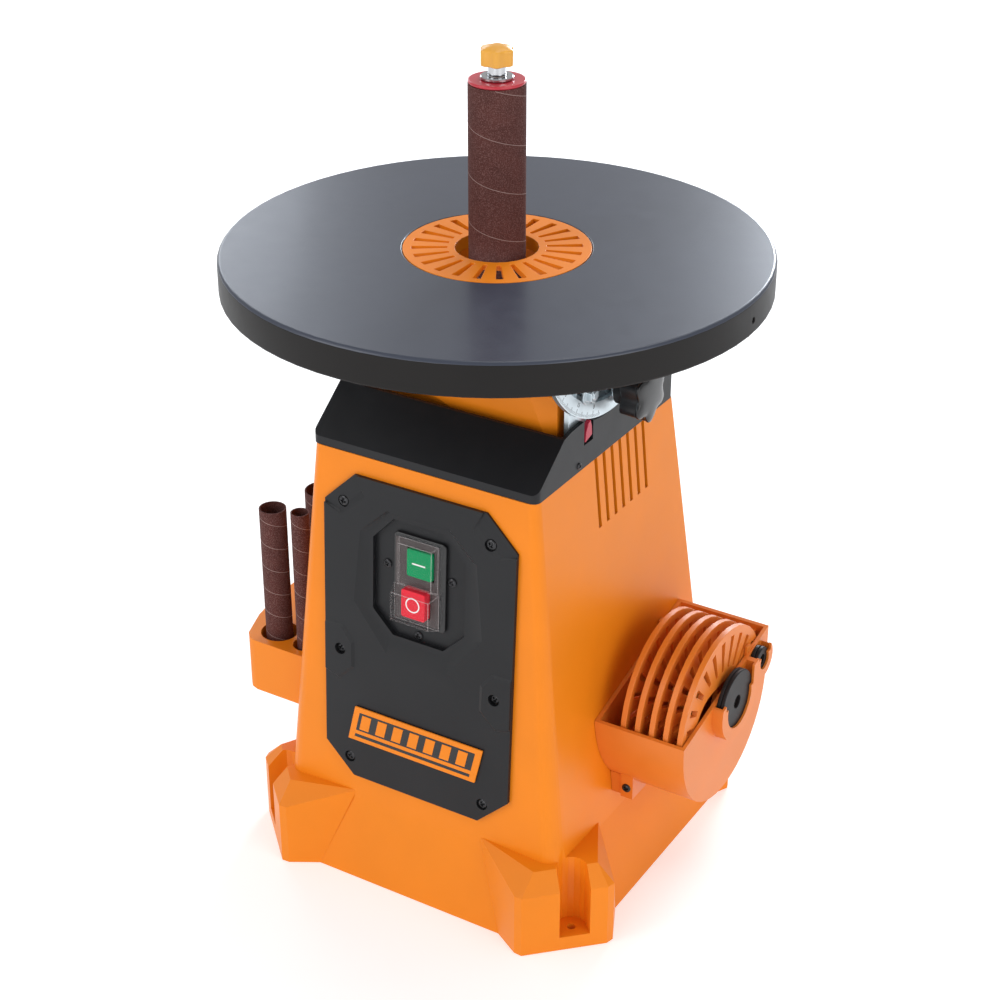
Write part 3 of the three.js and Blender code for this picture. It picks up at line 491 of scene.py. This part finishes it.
PIVOT_Z = 459.5
SCALE_ZERO = math.radians(252.0)
SCALE_FACE = 90.4
SCALE_OUTER = 95.0
SCALE_INNER = {15: 90.6, 5: 91.4, 1: 93.0}      # where a line starts, by the step it marks
NUMERAL_RADIUS = 88.2


def scale_point(radius, degrees):
    angle = SCALE_ZERO - math.radians(degrees)
    return Vector((SCALE_FACE, radius * math.cos(angle), PIVOT_Z + radius * math.sin(angle)))


def tilt_scale():
    """Engraved lines every degree on the trunnion's outer band, one mesh."""
    bm = bmesh.new()
    for degrees in range(-6, 51):
        inner = next(radius for step, radius in SCALE_INNER.items() if degrees % step == 0)
        half = 0.11 if degrees % 5 else 0.17
        low, high = scale_point(inner, degrees), scale_point(SCALE_OUTER, degrees)
        along = (high - low).normalized()
        across = Vector((1, 0, 0)).cross(along) * half
        corners = [low - across, low + across, high + across, high - across]
        rings = [[(c + Vector((h, 0, 0))) * MM for c in corners] for h in (0.0, 0.06)]
        ring_mesh(bm, rings)
    return piece("tilt_scale_lines", bm, DARK_INK, "tilting_table")


def numeral(text, degrees):
    """A small printed number beside the scale, turned to stand on the arc."""
    curve = bpy.data.curves.new(f"numeral_{text}", "FONT")
    curve.body = text
    curve.size = 3.8 * MM
    curve.align_x = "CENTER"
    curve.align_y = "CENTER"
    curve.extrude = 0.03 * MM
    holder = bpy.data.objects.new(f"numeral_{text}_source", curve)
    bpy.context.scene.collection.objects.link(holder)
    bpy.context.view_layer.update()
    depsgraph = bpy.context.evaluated_depsgraph_get()
    mesh = bpy.data.meshes.new_from_object(holder.evaluated_get(depsgraph))
    bpy.data.objects.remove(holder)
    at = scale_point(NUMERAL_RADIUS, degrees)
    up = (Vector((at.x, 0, PIVOT_Z)) - at).normalized()
    right = up.cross(Vector((1, 0, 0)))
    basis = Matrix((right, up, Vector((1, 0, 0)))).transposed().to_4x4()
    mesh.transform(Matrix.Translation((at + Vector((0.03, 0, 0))) * MM) @ basis)
    obj = bpy.data.objects.new(f"scale_numeral_{text}", mesh)
    bpy.context.scene.collection.objects.link(obj)
    mesh.materials.clear()
    mesh.materials.append(DARK_INK)
    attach(obj, "tilting_table")
    return obj


tilt_scale()
for degrees in (0, 15, 30, 45):
    numeral(str(degrees), degrees)


def lock_knob(side, flip):
    """Hand knob: six-lobed barrel on a round hub, with a slightly domed gloss face of the same outline."""
    centre = middle(f"lock_knob_{side}")
    body = f"lock_{side}"

    def lobes(angle, radius):
        depth = min(1.0, max(0.0, (radius - 12) / 6))
        return radius - 2.4 * depth * math.cos(6 * angle)

    base = Vector((0, centre.y, centre.z))
    barrel = [(0.4, 93.2), (11.6, 93.2), (11.6, 100.4), (15.6, 101.0)] + arc_profile(16.6, 102.0, 1.0, -90, 0)
    barrel += [(18.0, 113.0), (17.4, 114.0), (0.4, 114.0)]
    turned(f"lock_knob_{side}_grip", barrel, base, BLACK, body, axis="X", steps=144, flip=flip,
           replaces=(f"lock_knob_{side}",), lobes=lobes, sharp=38)
    face = [(0.4, 113.4), (17.8, 113.4)] + arc_profile(17.4, 114.8, 1.2, -60, 60)
    face += [(16.4, 116.7), (13.0, 117.3), (9.0, 117.7), (4.5, 117.95), (0.4, 118.0)]
    turned(f"lock_knob_{side}_face", face, base, BLACK_GLOSS, body, axis="X", steps=144, flip=flip,
           lobes=lobes, sharp=38)
    turned(f"lock_washer_{side}", [(3.6, 90.7), (9.0, 90.7), (9.3, 91.0), (9.3, 92.2), (9.0, 92.5), (3.6, 92.5),
                                   (3.6, 90.7)], base, ZINC, body, axis="X", flip=flip)
    turned(f"lock_stud_{side}", [(0.3, 78.0), (2.9, 78.0), (3.4, 78.6), (3.4, 94.0), (0.3, 94.0)], base, ZINC,
           body, axis="X", steps=40, flip=flip)


lock_knob("right", 1)
lock_knob("left", -1)

# ------------------------------------------------------------------ hood and port
refine("dust_hood", ORANGE, width=1.6, segments=4, angle=18)
refine("dust_port", BLACK, width=0.5, angle=40)

# ------------------------------------------------------------------ spindle
refine("spindle_shaft", STEEL, width=0.4, angle=40)
refine("rubber_drum", RED_RUBBER, width=0.45, segments=3, angle=40)
turned("spindle_washer_skin", [(6.6, 574.4), (10.4, 574.4), (10.9, 574.9), (10.9, 576.0), (10.3, 576.6),
                               (6.6, 576.6), (6.6, 574.4)], (0, 0, 0), CHROME, "spindle",
       replaces=("spindle_washer",))
COLLAR = [(0.3, 577.1), (5.4, 577.1), (5.9, 577.6), (5.9, 584.0), (0.3, 584.0)]
turned("knob_collar", COLLAR, (0, 0, 0), CHROME, "top_knob", steps=60)


def knob_lobes(angle, radius):
    share = max(0.0, min(1.0, (radius - 3.0) / 7.0))
    return radius + 0.95 * share * math.cos(6 * angle)


GRIP = [(0.2, 583.4), (6.0, 583.4), (8.6, 583.5)] + arc_profile(9.7, 584.4, 0.9, -90, 0)
GRIP += [(10.6, 588.5)] + arc_profile(8.9, 592.6, 1.7, 0, 62) + [(7.6, 594.9), (5.2, 595.6), (2.6, 595.95),
                                                             (0.2, 596.0)]
turned("spindle_knob_grip", GRIP, (0, 0, 0), YELLOW, "top_knob", steps=120, replaces=("spindle_knob",),
       lobes=knob_lobes, sharp=50)


def sleeve_skin(node, steps=96):
    """A cloth-backed abrasive sleeve with its pale spiral lap seam."""
    low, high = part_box(node)
    centre = middle(node)
    radius = (high.x - low.x) / 2 / MM
    wall = 0.65 if node == "sanding_sleeve" else 0.9
    z0, z1 = low.z / MM, high.z / MM
    profile = [(radius - wall, z0), (radius - 0.12, z0), (radius, z0 + 0.15), (radius, z1 - 0.15),
               (radius - 0.12, z1), (radius - wall, z1), (radius - wall, z0)]
    base = (centre.x, centre.y, 0)
    body = NODES[node]["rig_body"]
    turned(f"{node}_skin", profile, base, GRIT, body, steps=steps, replaces=(node,))
    pitch, start = (19.1, 2.4) if radius < 15 else (32.8, 5.2)
    turns = (z1 - z0 - 1.0) / pitch
    count = int(turns * 60)
    bm = bmesh.new()
    rings = []
    for i in range(count + 1):
        a = 2 * math.pi * turns * i / count + start
        z = z1 - 0.5 - (z1 - z0 - 1.0) * i / count
        out = Vector((math.cos(a), math.sin(a), 0))
        at = Vector((centre.x, centre.y, z)) + out * (radius - 0.05)
        half = 0.22
        ring = [at + Vector((0, 0, -half)), at + out * 0.12 + Vector((0, 0, -half * 0.7)),
                at + out * 0.12 + Vector((0, 0, half * 0.7)), at + Vector((0, 0, half))]
        rings.append([p * MM for p in ring])
    ring_mesh(bm, rings)
    piece(f"{node}_seam", bm, SEAM, body)


for node in ("sanding_sleeve", "stored_sleeve_19", "stored_sleeve_13", "stored_sleeve_26"):
    sleeve_skin(node)

# ------------------------------------------------------------------ drive, seen from below or through gaps
DRIVE = {
    "motor_carriage": CAST, "upper_bearing": STEEL, "lower_bearing": STEEL, "motor_casing": DARK_STEEL,
    "motor_stator": COPPER, "motor_rotor": STEEL, "motor_fan": BLACK, "motor_end_bell": CAST,
    "worm_wheel": BRONZE, "lower_frame": DARK_STEEL, "start_capacitor": BLACK_GLOSS, "cord_gland": BLACK,
}
for node, material in DRIVE.items():
    refine(node, material, width=0.4, angle=40)

# ------------------------------------------------------------------ storage on both sides
refine("insert_holder", ORANGE_PALE, width=0.7, segments=2, angle=28)
refine("sleeve_rack", ORANGE, width=1.2, segments=3, angle=26)
for number in range(1, 6):
    refine(f"stored_insert_{number}", ORANGE_PALE, width=0.4, angle=30)
for node in ("large_washer_1", "large_washer_2", "small_washer_1", "small_washer_2"):
    low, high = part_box(node)
    centre = middle(node)
    radius = (high.z - low.z) / 2 / MM
    x0, x1 = low.x / MM, high.x / MM
    bore = 5.0 if radius > 15 else 4.0
    profile = [(bore, x0), (radius - 0.5, x0), (radius, x0 + 0.5), (radius, x1 - 0.5), (radius - 0.5, x1),
               (bore + 0.3, x1), (bore, x1 - 0.3), (bore, x0)]
    turned(f"{node}_skin", profile, (0, centre.y, centre.z), BLACK_RUBBER, NODES[node]["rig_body"], axis="X",
           steps=72, replaces=(node,))


# ------------------------------------------------------------------ stage, light, camera
def area_light(name, at, aim, size, power, color=(1, 1, 1)):
    data = bpy.data.lights.new(name, "AREA")
    data.shape = "DISK"
    data.size = size
    data.energy = power
    data.color = color
    light = bpy.data.objects.new(name, data)
    light.location = at
    light.rotation_euler = (Vector(aim) - Vector(at)).to_track_quat("-Z", "Y").to_euler()
    bpy.context.scene.collection.objects.link(light)


floor_mesh = bpy.data.meshes.new("floor")
floor_bm = bmesh.new()
bmesh.ops.create_grid(floor_bm, x_segments=8, y_segments=8, size=9.0)
floor_bm.to_mesh(floor_mesh)
floor_bm.free()
floor = bpy.data.objects.new("floor", floor_mesh)
floor.location.z = -0.0004
pale_floor = finish("pale floor", (0.80, 0.80, 0.80), 0.8, vary=0.008, patch=2.0, grain=200, bump=0.004,
                    specular=0.1)
floor_inputs = pale_floor.node_tree.nodes["Principled BSDF"].inputs
floor_inputs["Emission Color"].default_value = (1, 1, 1, 1)
floor_inputs["Emission Strength"].default_value = 0.38
floor_mesh.materials.append(pale_floor)
bpy.context.scene.collection.objects.link(floor)

world = bpy.data.worlds.new("studio")
bpy.context.scene.world = world
world.use_nodes = True
background = world.node_tree.nodes["Background"]
background.inputs["Color"].default_value = (1, 1, 1, 1)
background.inputs["Strength"].default_value = 0.54

area_light("key", (-1.3, -1.9, 1.7), (0, 0, 0.3), 1.6, 19)
area_light("front", (0.2, -2.3, 0.55), (0, 0, 0.3), 1.0, 6.5)
area_light("fill", (2.0, -0.7, 1.0), (0, 0, 0.25), 1.6, 14)
area_light("top", (0.1, 0.7, 2.3), (0, 0, 0.4), 1.4, 9)
area_light("rim left", (-2.4, 1.8, 1.4), (0, 0, 0.45), 1.5, 18, (0.86, 0.92, 1.0))
area_light("rim right", (-0.45, 3.0, 1.30), (0, 0, 0.45), 1.1, 62, (0.86, 0.92, 1.0))

bpy.context.scene.view_settings.view_transform = "Standard"

camera_data = bpy.data.cameras.new("camera")
camera_data.lens = 74.36
camera_data.sensor_width = 36
camera_data.clip_end = 60
camera = bpy.data.objects.new("camera", camera_data)
camera.location = (0.6675, -1.0978, 0.9656)
aim = Vector((0.0016, 0.0010, 0.2685)) - camera.location
camera.rotation_euler = aim.to_track_quat("-Z", "Y").to_euler()
bpy.context.scene.collection.objects.link(camera)
bpy.context.scene.camera = camera
